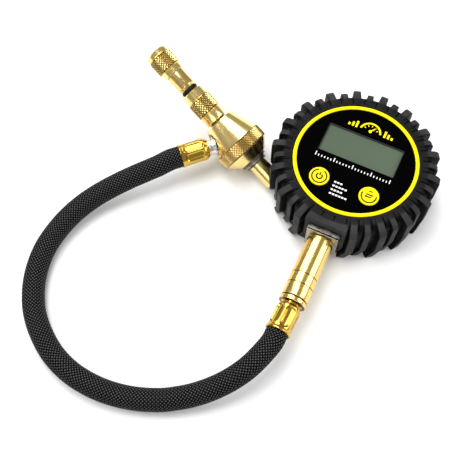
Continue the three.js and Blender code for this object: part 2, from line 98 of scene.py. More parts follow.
def axes_frame(origin, x_axis, z_axis):
    """A matrix whose columns are the given axes, for pieces drawn in millimetres about it."""
    z_axis = z_axis.normalized()
    y_axis = z_axis.cross(x_axis).normalized()
    x_axis = y_axis.cross(z_axis)
    turn = Matrix((x_axis, y_axis, z_axis)).transposed().to_4x4()
    return Matrix.Translation(origin * MM) @ turn


HEAD_AXIS = Vector(
    (
        math.cos(HEAD_TILT) * math.cos(HEAD_HEADING),
        math.cos(HEAD_TILT) * math.sin(HEAD_HEADING),
        math.sin(HEAD_TILT),
    )
)
HEAD_ROLL = -math.asin(math.tan(PORT_LEAN) * math.tan(HEAD_TILT))
HEAD_SIDE = Vector((-math.sin(HEAD_HEADING), math.cos(HEAD_HEADING), 0))
HEAD_SIDE.rotate(Matrix.Rotation(HEAD_ROLL, 3, HEAD_AXIS))
GAUGE = Matrix.Identity(4)
STEM = axes_frame(Vector((0, 0, STEM_Z)), Vector((1, 0, 0)), Vector((0, -1, 0)))
STEM_FERRULE = (
    STEM
    @ Matrix.Translation((0, 0, (TAIL_END + 1.0) * MM))
    @ Matrix.Rotation(-STEM_FERRULE_YAW, 4, "Y")
)
HEAD = axes_frame(HEAD_AT, HEAD_SIDE, HEAD_AXIS)
PORT = (
    HEAD
    @ Matrix.Translation((0, 0, PORT_AT * MM))
    @ Matrix.Rotation(math.pi / 2 - PORT_LEAN, 4, "Y")
)


# ---------------------------------------------------------------- camera


def add_camera():
    data = bpy.data.cameras.new("camera")
    data.lens = 63.5
    data.sensor_width = 36
    camera = bpy.data.objects.new("camera", data)
    bpy.context.scene.collection.objects.link(camera)
    aim = Vector((-0.0548, -0.0595, 0))
    camera.location = (0.0338, -0.2479, 0.4546)
    camera.rotation_euler = (aim - camera.location).to_track_quat("-Z", "Y").to_euler()
    bpy.context.scene.camera = camera


add_camera()

# ---------------------------------------------------------------- mesh helpers


def crease(piece, angle):
    """Shades a piece smooth, apart from edges sharper than angle degrees."""
    mesh = piece.data
    mesh.polygons.foreach_set("use_smooth", [True] * len(mesh.polygons))
    mesh.set_sharp_from_angle(angle=math.radians(angle))


def link(name, mesh, place, body, material, sharp=35):
    """Turns a mesh into a piece of the object, standing in frame `place` and riding on `body`."""
    piece = bpy.data.objects.new(name, mesh)
    bpy.context.scene.collection.objects.link(piece)
    piece.matrix_world = place
    mesh.materials.clear()
    mesh.materials.append(material)
    crease(piece, sharp)
    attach(piece, body)
    return piece


def mesh_of(name, points, faces):
    """A mesh from points in millimetres, with its faces turned outwards."""
    mesh = bpy.data.meshes.new(name)
    mesh.from_pydata([tuple(c * MM for c in p) for p in points], [], faces)
    work = bmesh.new()
    work.from_mesh(mesh)
    bmesh.ops.recalc_face_normals(work, faces=work.faces)
    work.to_mesh(mesh)
    work.free()
    mesh.update()
    return mesh


def add_relief(mesh, values):
    """Stores a height from 0 (sunk) to 1 (raised) on each vertex, by which the materials paint shade
    into the sunk places.
    """
    layer = mesh.attributes.new(name="relief", type="FLOAT", domain="POINT")
    layer.data.foreach_set("value", values)


def fillet(corners, radius, steps=3, closed=False):
    """The polyline with its corners rounded. A corner may carry its own radius as a third value."""
    out = []
    count = len(corners)
    for i, corner in enumerate(corners):
        here = Vector(corner[:2])
        reach = corner[2] if len(corner) > 2 else radius
        if reach == 0 or (not closed and i in (0, count - 1)):
            out.append(tuple(here))
            continue
        before = Vector(corners[i - 1][:2]) - here
        after = Vector(corners[(i + 1) % count][:2]) - here
        if before.length < 1e-6 or after.length < 1e-6:
            out.append(tuple(here))
            continue
        reach = min(reach, 0.45 * before.length, 0.45 * after.length)
        start = here + before.normalized() * reach
        end = here + after.normalized() * reach
        for k in range(steps + 1):
            t = k / steps
            out.append(tuple(start * (1 - t) ** 2 + here * 2 * t * (1 - t) + end * t * t))
    return out


def lathe(name, profile, segments=96, shape=None):
    """A solid of revolution about Z from (radius, height) points, closed on itself or on the axis.

    shape(angle, radius, height) may return another radius for each point."""
    on_axis = profile[0][0] == 0
    ring_points = profile[1:-1] if on_axis else profile
    points = []
    for radius, height in ring_points:
        for k in range(segments):
            angle = TAU * k / segments
            r = shape(angle, radius, height) if shape else radius
            points.append((r * math.cos(angle), r * math.sin(angle), height))
    faces = []
    rows = len(ring_points)
    last = rows - 1 if on_axis else rows
    for row in range(last):
        low = row * segments
        high = ((row + 1) % rows) * segments
        for k in range(segments):
            nxt = (k + 1) % segments
            faces.append((low + k, low + nxt, high + nxt, high + k))
    if on_axis:
        for centre, row in ((profile[0], 0), (profile[-1], rows - 1)):
            points.append((0, 0, centre[1]))
            hub = len(points) - 1
            for k in range(segments):
                faces.append((hub, row * segments + k, row * segments + (k + 1) % segments))
    return mesh_of(name, points, faces)


def shade_grooves(mesh, radius):
    """Marks the shallow grooves in a round piece of the given radius as sunk, for painted shade in
    them.
    """
    reaches = [math.hypot(v.co.x, v.co.y) / MM for v in mesh.vertices]
    add_relief(mesh, [0.0 if radius - 1.2 < r < radius - 0.2 else 1.0 for r in reaches])


def densified(profile, step):
    """The polyline with extra points so that no stretch is longer than step."""
    out = [profile[0]]
    for here, there in zip(profile, profile[1:]):
        parts = max(1, math.ceil(math.dist(here, there) / step))
        for k in range(1, parts + 1):
            t = k / parts
            out.append(tuple(a + (b - a) * t for a, b in zip(here, there)))
    return out


def knurled(name, inner, radius, low, high, pitch, depth, before, after):
    """A turned piece with a diamond knurl from low to high.

    before and after are the plain profiles on either side; inner is the bore's radius. A point may
    carry its relief as a third value."""
    around = 2 * round(TAU * radius / pitch)
    along = 2 * round((high - low) / pitch)
    rows = [[(*point, 1.0)[:3]] * around for point in before]
    for j in range(along + 1):
        edge = j in (0, along)
        height = low + (high - low) * j / along
        # valleys and the end rows get relief 0, which the knurl material paints as shade
        sunk, raised = (radius - depth, height, 0.0), (radius, height, 1.0)
        rows.append([sunk if (i + j) % 2 == 0 or edge else raised for i in range(around)])
    rows += [[(*point, 1.0)[:3]] * around for point in after]
    points = []
    relief = []
    for row in rows:
        for i, (r, z, up) in enumerate(row):
            angle = TAU * i / around
            points.append((r * math.cos(angle), r * math.sin(angle), z))
            relief.append(up)
    faces = []
    first = len(before)
    closing = [] if inner == 0 else [0]
    for j in range(len(rows) - 1 + len(closing)):
        low_row = j * around
        high_row = ((j + 1) % len(rows)) * around
        for i in range(around):
            nxt = (i + 1) % around
            a, b, c, d = low_row + i, low_row + nxt, high_row + nxt, high_row + i
            if first <= j < first + along:
                if (i + j - first) % 2 == 0:
                    faces += [(a, b, c), (a, c, d)]
                else:
                    faces += [(a, b, d), (b, c, d)]
            else:
                faces.append((a, b, c, d))
    if inner == 0:
        for row in (0, len(rows) - 1):
            points.append((0, 0, rows[row][0][1]))
            relief.append(1.0)
            hub = len(points) - 1
            for i in range(around):
                faces.append((hub, row * around + i, row * around + (i + 1) % around))
    mesh = mesh_of(name, points, faces)
    add_relief(mesh, relief)
    return mesh


def plate(name, loops, low, high, bevel=0.0):
    """A flat plate from closed outlines, the first one outside and the others holes."""
    curve = bpy.data.curves.new(name, "CURVE")
    curve.dimensions = "2D"
    curve.fill_mode = "BOTH"
    curve.extrude = (high - low) / 2 * MM - bevel * MM
    curve.bevel_depth = bevel * MM
    curve.bevel_resolution = 2
    curve.offset = -bevel * MM
    for loop in loops:
        spline = curve.splines.new("POLY")
        spline.points.add(len(loop) - 1)
        for point, (x, y) in zip(spline.points, loop):
            point.co = (x * MM, y * MM, 0, 1)
        spline.use_cyclic_u = True
    holder = bpy.data.objects.new(name, curve)
    bpy.context.scene.collection.objects.link(holder)
    bpy.context.view_layer.update()
    evaluated = holder.evaluated_get(bpy.context.evaluated_depsgraph_get())
    mesh = bpy.data.meshes.new_from_object(evaluated)
    bpy.data.objects.remove(holder)
    bpy.data.curves.remove(curve)
    mesh.transform(Matrix.Translation((0, 0, (low + high) / 2 * MM)))
    work = bmesh.new()
    work.from_mesh(mesh)
    bmesh.ops.remove_doubles(work, verts=work.verts, dist=1e-6)
    bmesh.ops.recalc_face_normals(work, faces=work.faces)
    work.to_mesh(mesh)
    work.free()
    return mesh


def circle(x, y, radius, steps=64):
    """The outline of a disc."""
    return [
        (x + radius * math.cos(TAU * k / steps), y + radius * math.sin(TAU * k / steps))
        for k in range(steps)
    ]


def rectangle(x, y, width, height, corner=0.0):
    """The outline of a rectangle about (x, y), with rounded corners if corner is given."""
    w, h = width / 2, height / 2
    outline = [(x - w, y - h), (x + w, y - h), (x + w, y + h), (x - w, y + h)]
    return fillet(outline, corner, 4, closed=True) if corner else outline


def arc_band(x, y, inner, outer, start, end, steps=28):
    """The outline of a stretch of a flat ring, angles in degrees."""
    angles = [math.radians(start + (end - start) * k / steps) for k in range(steps + 1)]
    out = [(x + outer * math.cos(a), y + outer * math.sin(a)) for a in angles]
    back = [(x + inner * math.cos(a), y + inner * math.sin(a)) for a in reversed(angles)]
    return out + back


def stroke(x0, y0, x1, y1, width):
    """The outline of a straight line of the given width."""
    run = Vector((x1 - x0, y1 - y0))
    side = Vector((-run.y, run.x)).normalized() * width / 2
    return [
        (x0 + side.x, y0 + side.y),
        (x0 - side.x, y0 - side.y),
        (x1 - side.x, y1 - side.y),
        (x1 + side.x, y1 + side.y),
    ]


def joined(name, meshes):
    """One mesh holding several."""
    work = bmesh.new()
    for mesh in meshes:
        work.from_mesh(mesh)
        bpy.data.meshes.remove(mesh)
    mesh = bpy.data.meshes.new(name)
    work.to_mesh(mesh)
    work.free()
    return mesh


def box_mesh(size):
    """A box about its own centre."""
    mesh = bpy.data.meshes.new("box")
    work = bmesh.new()
    bmesh.ops.create_cube(work, size=1)
    for vertex in work.verts:
        vertex.co = Vector([s * v * MM for s, v in zip(size, vertex.co)])
    work.to_mesh(mesh)
    work.free()
    return mesh


def cut_away(piece, mesh, place):
    """Takes a solid, standing in frame `place`, away from a piece and leaves no modifier behind."""
    cutter = bpy.data.objects.new("cutter", mesh)
    bpy.context.scene.collection.objects.link(cutter)
    cutter.matrix_world = place
    modifier = piece.modifiers.new("cut", "BOOLEAN")
    modifier.object = cutter
    modifier.operation = "DIFFERENCE"
    modifier.solver = "EXACT"
    apply_modifiers(piece)
    bpy.data.objects.remove(cutter)


def apply_modifiers(piece):
    """Makes a piece's modifiers part of its mesh."""
    bpy.context.view_layer.update()
    evaluated = piece.evaluated_get(bpy.context.evaluated_depsgraph_get())
    mesh = bpy.data.meshes.new_from_object(evaluated)
    piece.modifiers.clear()
    old = piece.data
    piece.data = mesh
    bpy.data.meshes.remove(old)
    crease(piece, 40)


# ---------------------------------------------------------------- materials


class Nodes:
    """A material's node tree, with short calls for the few nodes used here."""

    def __init__(self, name, color, roughness, metallic=0.0, **sockets):
        self.material = bpy.data.materials.new(name)
        self.material.use_nodes = True
        self.tree = self.material.node_tree
        self.shader = self.tree.nodes["Principled BSDF"]
        self.shader.inputs["Base Color"].default_value = (*color, 1)
        self.shader.inputs["Roughness"].default_value = roughness
        self.shader.inputs["Metallic"].default_value = metallic
        for key, value in sockets.items():
            self.shader.inputs[key.replace("_", " ")].default_value = value
        self.bumps = None

    def node(self, kind, **values):
        made = self.tree.nodes.new(kind)
        for key, value in values.items():
            setattr(made, key, value)
        return made

    def wire(self, source, target):
        self.tree.links.new(source, target)

    def place(self, scale=(1, 1, 1)):
        """A point's place on its own piece, stretched by scale along each axis."""
        coords = self.node("ShaderNodeTexCoord")
        mapping = self.node("ShaderNodeMapping")
        mapping.inputs["Scale"].default_value = scale
        self.wire(coords.outputs["Object"], mapping.inputs["Vector"])
        return mapping.outputs["Vector"]

    def noise(self, scale, detail=3.0, stretch=(1, 1, 1)):
        made = self.node("ShaderNodeTexNoise")
        made.inputs["Scale"].default_value = scale
        made.inputs["Detail"].default_value = detail
        self.wire(self.place(stretch), made.inputs["Vector"])
        return made.outputs["Fac"]

    def relief(self, low, high):
        """0 where the piece's stored relief is below low, rising to 1 at high."""
        made = self.node("ShaderNodeAttribute", attribute_name="relief")
        return self.ramp(made.outputs["Fac"], low, high, 0, 1)

    def ramp(self, factor, low, high, out_low, out_high):
        """factor, mapped from low to high onto out_low to out_high."""
        made = self.node("ShaderNodeMapRange")
        made.inputs["From Min"].default_value = low
        made.inputs["From Max"].default_value = high
        made.inputs["To Min"].default_value = out_low
        made.inputs["To Max"].default_value = out_high
        self.wire(factor, made.inputs["Value"])
        return made.outputs["Result"]

    def math(self, operation, a, b=None):
        made = self.node("ShaderNodeMath", operation=operation)
        for socket, value in zip(made.inputs, (a, b)):
            if isinstance(value, (int, float)):
                socket.default_value = value
            elif value is not None:
                self.wire(value, socket)
        return made.outputs["Value"]

    def blend(self, factor, first, second):
        made = self.node("ShaderNodeMix", data_type="RGBA")
        for socket, value in ((made.inputs[6], first), (made.inputs[7], second)):
            if isinstance(value, tuple):
                socket.default_value = (*value, 1)
            else:
                self.wire(value, socket)
        self.wire(factor, made.inputs[0])
        return made.outputs[2]

    def color(self, value):
        self.wire(value, self.shader.inputs["Base Color"])

    def rough(self, value):
        self.wire(value, self.shader.inputs["Roughness"])

    def bump(self, height, distance, strength=1.0):
        made = self.node("ShaderNodeBump")
        made.inputs["Distance"].default_value = distance
        made.inputs["Strength"].default_value = strength
        self.wire(height, made.inputs["Height"])
        if self.bumps:
            self.wire(self.bumps, made.inputs["Normal"])
        self.bumps = made.outputs["Normal"]
        self.wire(self.bumps, self.shader.inputs["Normal"])


def brass(name, color, roughness, turned=0.5, painted_valley_shade=None):
    """Machined brass: fine turning lines round the local Z axis, small marks and soft tarnish.

    The optional last colour is painted shade, laid where the relief is low: between a knurl's points
    and in grooves."""
    m = Nodes(name, color, roughness, 1.0)
    tarnish = m.noise(90, 4)
    darker = tuple(c * f for c, f in zip(color, (0.80, 0.74, 0.62)))
    shade = m.blend(m.ramp(tarnish, 0.42, 0.8, 0, 0.35), color, darker)
    # painted shade: the optional last colour fills knurl valleys and grooves, where the relief is low
    m.color(m.blend(m.relief(0.18, 0.55), painted_valley_shade, shade) if painted_valley_shade else shade)
    marks = m.noise(900, 2)
    m.rough(m.ramp(marks, 0.3, 0.8, roughness * 0.8, roughness * 1.35))
    lines = m.noise(2600, 1, (0.02, 0.02, 1))
    m.bump(lines, 0.00001 * turned, 0.5)
    m.bump(m.noise(260, 2), 0.00002, 0.25)
    return m.material


def rubber(name):
    """Dusty black rubber: fine grain, with painted shade in its grooves and slits."""
    m = Nodes(name, (0.018, 0.018, 0.019), 0.52, Specular_IOR_Level=0.06)
    cloud = m.noise(60, 4)
    face = m.blend(m.ramp(cloud, 0.35, 0.7, 0, 1), (0.023, 0.023, 0.0235), (0.040, 0.040, 0.0405))
    # painted shade: near-black where the relief is low, darkest in the slits and grooves
    m.color(m.blend(m.relief(0.0, 1.0), (0.0010, 0.0010, 0.0010), face))
    m.rough(m.ramp(m.noise(220, 3), 0.3, 0.7, 0.42, 0.6))
    m.bump(m.noise(1500, 3), 0.00006, 0.35)
    m.bump(m.noise(120, 2), 0.00012, 0.2)
    return m.material


def plastic(name, color, roughness, grain=1400, tint=0.85, shine=0.5):
    """Moulded plastic or paint; tint is how far the colour drops in its darker clouds."""
    m = Nodes(name, color, roughness, Specular_IOR_Level=shine)
    shade = m.ramp(m.noise(70, 3), 0.35, 0.7, 0, 1)
    m.color(m.blend(shade, color, tuple(c * tint for c in color)))
    m.rough(m.ramp(m.noise(320, 2), 0.3, 0.7, roughness * 0.85, roughness * 1.2))
    m.bump(m.noise(grain, 2), 0.00001, 0.4)
    return m.material


def lcd_material():
    """Grey-green display: a soft change of tone across it."""
    m = Nodes("lcd", (0.12, 0.16, 0.11), 0.3, Specular_IOR_Level=0.06)
    across = m.node("ShaderNodeSeparateXYZ")
    m.wire(m.place(), across.inputs["Vector"])
    lean = m.math("ADD", m.math("MULTIPLY", across.outputs["X"], 9), across.outputs["Y"])
    tone = m.ramp(lean, -0.24, 0.24, 0.15, 0.85)
    cloud = m.math("MULTIPLY", m.noise(35, 2), 0.35)
    mixed = m.math("ADD", tone, cloud)
    m.color(m.blend(m.ramp(mixed, 0.2, 1.2, 0, 1), (0.062, 0.088, 0.057), (0.094, 0.122, 0.086)))
    m.rough(m.ramp(m.noise(600, 2), 0.3, 0.7, 0.26, 0.36))
    return m.material


def nickel(name, painted_valley_shade=None):
    """Dull nickel plate with brown stains; the optional last colour is painted shade in its grooves.
    """
    m = Nodes(name, (0.62, 0.58, 0.52), 0.3, 1.0)
    stain = m.ramp(m.noise(130, 5), 0.4, 0.7, 0, 0.7)
    shade = m.blend(stain, (0.42, 0.39, 0.34), (0.16, 0.13, 0.10))
    # painted shade: the optional last colour fills the grooves, where the relief is low
    m.color(m.blend(m.relief(0.18, 0.55), painted_valley_shade, shade) if painted_valley_shade else shade)
    m.rough(m.ramp(m.noise(500, 3), 0.3, 0.7, 0.22, 0.42))
    m.bump(m.noise(900, 2, (1, 1, 0.06)), 0.00001, 0.5)
    return m.material


def braid_material():
    """Woven black yarn: each strand is made of fine threads that run along it, with painted shade in
    the gaps between strands.
    """
    m = Nodes("braid", (0.02, 0.02, 0.022), 0.4, Specular_IOR_Level=0.12)
    coords = m.node("ShaderNodeUVMap")
    split = m.node("ShaderNodeSeparateXYZ")
    m.wire(coords.outputs["UV"], split.inputs["Vector"])
    plus = m.math("ADD", split.outputs["X"], split.outputs["Y"])
    minus = m.math("SUBTRACT", split.outputs["X"], split.outputs["Y"])
    parity = m.math("PINGPONG", m.math("ADD", m.math("FLOOR", plus), m.math("FLOOR", minus)), 1)
    threads = []
    for direction in (plus, minus):
        wave = m.math("SINE", m.math("MULTIPLY", direction, TAU * 4))
        threads.append(m.math("MULTIPLY", wave, 0.5))
    pick = m.node("ShaderNodeMix", data_type="FLOAT")
    m.wire(parity, pick.inputs[0])
    m.wire(threads[1], pick.inputs[2])
    m.wire(threads[0], pick.inputs[3])
    yarn = pick.outputs[0]
    thread = m.blend(m.ramp(yarn, -0.5, 0.5, 0, 1), (0.085, 0.085, 0.088), (0.25, 0.25, 0.26))
    # painted shade: the gaps between the strands, where the relief is low, are near-black
    m.color(m.blend(m.relief(0.74, 0.99), (0.0002, 0.0002, 0.0002), thread))
    gloss = m.ramp(m.noise(700, 2), 0.3, 0.7, 0.20, 0.30)
    shine = m.math("MULTIPLY", m.relief(0.4, 0.85), m.math("SUBTRACT", 1.15, gloss))
    m.rough(m.math("SUBTRACT", 1.15, shine))
    m.bump(yarn, 0.00008, 0.6)
    return m.material


MATERIALS = {
    "brass": brass("brass", (0.80, 0.59, 0.215), 0.20, 0.7),
    # knurl, grooved and socket carry a last colour of painted shade for their sunk places
    "knurl": brass("knurl", (0.93, 0.71, 0.28), 0.21, 0.7, (0.25, 0.16, 0.04)),
    "grooved": brass("grooved", (0.80, 0.57, 0.18), 0.20, 0.7, (0.10, 0.06, 0.015)),
    "gilt": brass("gilt", (0.58, 0.37, 0.06), 0.17, 0.1),
    "rubber": rubber("rubber"),
    "black": plastic("black", (0.0012, 0.0012, 0.0014), 0.55, shine=0.0),
    "bezel": plastic("bezel", (0.018, 0.018, 0.019), 0.45, shine=0.3),
    "yellow": plastic("yellow", (0.93, 0.75, 0.0), 0.45, tint=0.96, shine=0.15),
    "white": plastic("white", (0.80, 0.80, 0.78), 0.5, tint=0.95),
    "ink": plastic("ink", (0.006, 0.006, 0.004), 0.5, shine=0.1),
    "lcd": lcd_material(),
    "nickel": nickel("nickel"),
    "socket": nickel("socket", (0.02, 0.017, 0.013)),
    "bright": brass("bright", (0.72, 0.70, 0.66), 0.26, 0.2),
    "seal": plastic("seal", (0.005, 0.005, 0.005), 0.4, 1800, shine=0.15),
    "iron": brass("iron", (0.16, 0.145, 0.12), 0.34, 0.4),
    "steel": brass("steel", (0.50, 0.50, 0.48), 0.3, 0.4),
    "board": plastic("board", (0.02, 0.11, 0.045), 0.4),
    "wrap": plastic("wrap", (0.05, 0.06, 0.085), 0.35),
    "braid": braid_material(),
}


# ---------------------------------------------------------------- hose

HOSE_LEADS = (0, 2, 6)
HOSE_ROUTE = [
    (-109.7, -46.6, 18.0),
    (-116.3, -53.5, 16.4),
    (-123.2, -60.6, 14.4),
    (-129.7, -68.0, 12.4),
    (-136.2, -76.7, 10.6),
    (-141.8, -86.4, 9.0),
    (-145.9, -97.0, 7.8),
    (-148.4, -108.4, LIE),
    (-148.8, -120.4, LIE),
    (-146.4, -134.0, LIE),
    (-141.2, -146.9, LIE),
    (-133.4, -158.4, LIE),
    (-123.4, -167.6, LIE),
    (-111.3, -175.2, LIE),
    (-98.2, -179.8, LIE),
    (-85.0, -181.5, LIE),
    (-71.6, -180.9, LIE),
    (-57.6, -177.9, 7.2),
    (-43.7, -172.5, 8.2),
    (-36.4, -168.3, 9.1),
    (-29.5, -163.6, 10.2),
    (-22.7, -157.8, 11.6),
    (-16.6, -151.4, 13.1),
    (-10.9, -143.8, 14.7),
    (-6.0, -134.6, 15.9),
]


def smooth_path(points, step):
    """Centripetal Catmull-Rom through the points, then resampled evenly."""
    ends = [points[0] * 2 - points[1], *points, points[-1] * 2 - points[-2]]
    dense = []
    for p0, p1, p2, p3 in zip(ends, ends[1:], ends[2:], ends[3:]):
        t0 = 0
        t1 = t0 + (p1 - p0).length ** 0.5
        t2 = t1 + (p2 - p1).length ** 0.5
        t3 = t2 + (p3 - p2).length ** 0.5
        for k in range(24):
            t = t1 + (t2 - t1) * k / 24
            a1 = p0 * ((t1 - t) / (t1 - t0)) + p1 * ((t - t0) / (t1 - t0))
            a2 = p1 * ((t2 - t) / (t2 - t1)) + p2 * ((t - t1) / (t2 - t1))
            a3 = p2 * ((t3 - t) / (t3 - t2)) + p3 * ((t - t2) / (t3 - t2))
            b1 = a1 * ((t2 - t) / (t2 - t0)) + a2 * ((t - t0) / (t2 - t0))
            b2 = a2 * ((t3 - t) / (t3 - t1)) + a3 * ((t - t1) / (t3 - t1))
            dense.append(b1 * ((t2 - t) / (t2 - t1)) + b2 * ((t - t1) / (t2 - t1)))
    dense.append(points[-1])
    lengths = [0.0]
    for here, there in zip(dense, dense[1:]):
        lengths.append(lengths[-1] + (there - here).length)
    count = round(lengths[-1] / step)
    out = []
    at = 0
    for k in range(count + 1):
        target = lengths[-1] * k / count
        while at < len(lengths) - 2 and lengths[at + 1] < target:
            at += 1
        share = (target - lengths[at]) / (lengths[at + 1] - lengths[at])
        out.append(dense[at].lerp(dense[at + 1], share))
    return out, lengths[-1]


STRANDS = 20  # strands of the braid in each direction, counted round the hose
PER_STRAND = 4  # mesh columns for each strand
BRAID_LIFT = 0.42  # how far a strand stands out, in millimetres


def weave(u, v):
    """Height from 0 to 1 of a two-way braid at strand coordinates u and v."""
    plus, minus = u + v, u - v
    fp, fm = plus - math.floor(plus), minus - math.floor(minus)
    over = (math.floor(plus) + math.floor(minus)) % 2 == 0
    across, along = (fp, fm) if over else (fm, fp)
    body = math.sqrt(max(0.0, 1 - (2 * across - 1) ** 2))
    return body * (0.55 + 0.45 * math.sin(math.pi * along))


def add_hose():
    start = [PORT @ Vector((0, 0, (HEAD_FERRULE_END + GAP + d) * MM)) / MM for d in HOSE_LEADS]
    end = [
        STEM_FERRULE @ Vector((0, 0, (STEM_FERRULE_LENGTH + GAP + d) * MM)) / MM
        for d in reversed(HOSE_LEADS)
    ]
    cell = TAU * HOSE_RADIUS / STRANDS
    route, length = smooth_path([*start, *map(Vector, HOSE_ROUTE), *end], cell / PER_STRAND)
    points = []
    relief = []
    uvs = []
    columns = STRANDS * PER_STRAND
    tangent = (route[1] - route[0]).normalized()
    side = tangent.cross(Vector((0, 0, 1))).normalized()
    for j, centre in enumerate(route):
        ahead = route[min(j + 1, len(route) - 1)] - route[max(j - 1, 0)]
        tangent = ahead.normalized()
        side = (side - tangent * side.dot(tangent)).normalized()
        up = tangent.cross(side)
        v = j / PER_STRAND
        for i in range(columns):
            u = i / PER_STRAND
            relief.append(weave(u, v))
            radius = HOSE_RADIUS - BRAID_LIFT * (1 - relief[-1])
            angle = TAU * i / columns
            points.append(centre + (side * math.cos(angle) + up * math.sin(angle)) * radius)
            uvs.append((u, v))
    faces = []
    for j in range(len(route) - 1):
        for i in range(columns):
            nxt = (i + 1) % columns
            row, above = j * columns, (j + 1) * columns
            faces.append((row + i, row + nxt, above + nxt, above + i))
    faces.append(tuple(reversed(range(columns))))
    faces.append(tuple(range(len(points) - columns, len(points))))
    mesh = mesh_of("braided_hose", points, faces)
    add_relief(mesh, relief)
    layer = mesh.uv_layers.new(name="UVMap")
    for face in mesh.polygons:
        wraps = {mesh.loops[k].vertex_index % columns for k in face.loop_indices} >= {0, columns - 1}
        for k in face.loop_indices:
            index = mesh.loops[k].vertex_index
            u, v = uvs[index]
            if wraps and index % columns == 0 and len(face.vertices) == 4:
                u = STRANDS
            layer.data[k].uv = (u, v)
    hose = link("braided_hose", mesh, GAUGE, "gauge", MATERIALS["braid"], 80)
    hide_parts("hose")


add_hose()

# ---------------------------------------------------------------- rubber boot

PITCHES = 36
BOOT_ROOT = 46.4
BEND_START = 10.0  # the lugs lean below this height
BEND_SLOPE = math.tan(math.radians(22))
BIG_TIP = 51.0
SMALL_TIP = 49.0
BIG_HALF = 2.3  # half the width of a big lug's tip, in degrees round the boot
SMALL_HALF = 1.9
RIM_HALF = 12.4  # half the width of the plain rim round the stem's block
RIM_FRONT = 46.4  # the rim's flat front
SLIT = (3.45, 3.6, 4.25, 4.4)  # edges of the slit beside each lug, in degrees
SLIT_DEPTH = 1.5
LIP_EDGE = 43  # the smooth front lip lies inside this radius
TREAD_START = 40.5  # the lean of the lugs sets in beyond this radius
TREAD_RADIUS = 48  # where the lean is measured


def boot_rows(tip):
    """Matching (radius, height) points up the boot: in a groove, on a lug and on the stem's rim."""
    front = RIM_FRONT
    return [
        ((30, 0), (30, 0), (30, 0)),
        ((43.2, 0), (tip - 2.6, 0), (43.2, 0)),
        ((45.0, 0.5), (tip - 1.3, 0.4), (45.2, 0.5)),
        ((46.1, 1.8), (tip - 0.9, 1.6), (front, 2.0)),
        ((BOOT_ROOT, 5), (tip - 0.7, 5.5), (front, 5)),
        ((BOOT_ROOT, 10), (tip - 0.35, 10), (front, 10)),
        ((BOOT_ROOT, 13.2), (tip - 0.05, 13.4), (front, 13.3)),
        ((BOOT_ROOT, 14.6), (tip, 14.8), (front, 14.7)),
        ((BOOT_ROOT, 22), (tip, 22), (front, 22)),
        ((BOOT_ROOT, 28.5), (tip, 30.3), (front, 28.5)),
        ((45.9, 30.3), (tip - 0.3, 31.0), (front + 0.6, 29.1)),
        ((45.2, 31.5), (tip - 1.0, 31.8), (front + 0.5, 32.2)),
        ((44.5, 32.3), ((tip + 45.6) / 2, 32.9), (front, 32.7)),
        ((43.4, 33.0), (45.2, 33.8), (43.6, 33.2)),
        ((42.6, 33.3), (44.0, 34.2), (42.8, 33.7)),
        ((41.4, 33.45), (42.4, 34.25), (41.6, 33.8)),
        ((39.9, 33.5), (39.9, 34.0), (39.9, 33.7)),
        ((39.4, 33.5), (39.4, 33.6), (39.4, 33.5)),
        ((38.5, 33.5), (38.5, 33.6), (38.5, 33.5)),
        ((38.1, 33.3), (38.1, 33.3), (38.1, 33.3)),
        ((38.1, 33.0), (38.1, 33.0), (38.1, 33.0)),
        ((40.3, 33.0), (40.3, 33.0), (40.3, 33.0)),
        ((40.3, 2.2), (40.3, 2.2), (40.3, 2.2)),
    ]


def boot_columns():
    """(angle in degrees, share of the lug's profile, tip radius, 1 in a slit) round the boot."""
    columns = []
    pitch = 360 / PITCHES
    for k in range(PITCHES):
        centre = -90 + k * pitch
        big = k % 2 == 0
        tip = BIG_TIP if big else SMALL_TIP
        half = BIG_HALF if big else SMALL_HALF
        wobble = RNG.uniform(-0.12, 0.12)
        stations = [
            (-5.0, 0.0, 0),
            (-half - 1.1, 0.0, 0),
            (-half - 0.85, 0.06, 0),
            (-half - 0.3, 0.94, 0),
            (-half + 0.1, 1.0, 0),
            (0.0, 1.0, 0),
            (half - 0.1, 1.0, 0),
            (half + 0.3, 0.94, 0),
            (half + 0.85, 0.06, 0),
            (SLIT[0], 0.0, 0),
            (SLIT[1], 0.0, 1),
            (SLIT[2], 0.0, 1),
            (SLIT[3], 0.0, 0),
        ]
        for offset, share, slit in stations:
            moved = offset + (wobble if abs(offset) < 3 else 0)
            columns.append((centre + moved, share, tip, slit))
    return columns


def rim_share(away):
    """1 on the plain rim round the stem's block, 0 away from it, with a short slope between."""
    side = away * RIM_FRONT
    return min(1.0, max(0.0, (RIM_HALF + 0.9 - side) / 0.9))


def boot_relief(sunk, radius, raised):
    """Relief of a point of the boot, which the rubber paints darker the lower it is: slits are
    darkest, then grooves, the lip and the lugs' tops; the dark slits and grooves are painted shade.
    """
    if sunk:
        return 0.0
    if radius < LIP_EDGE:
        return 0.3
    return 1.0 if raised else 0.08


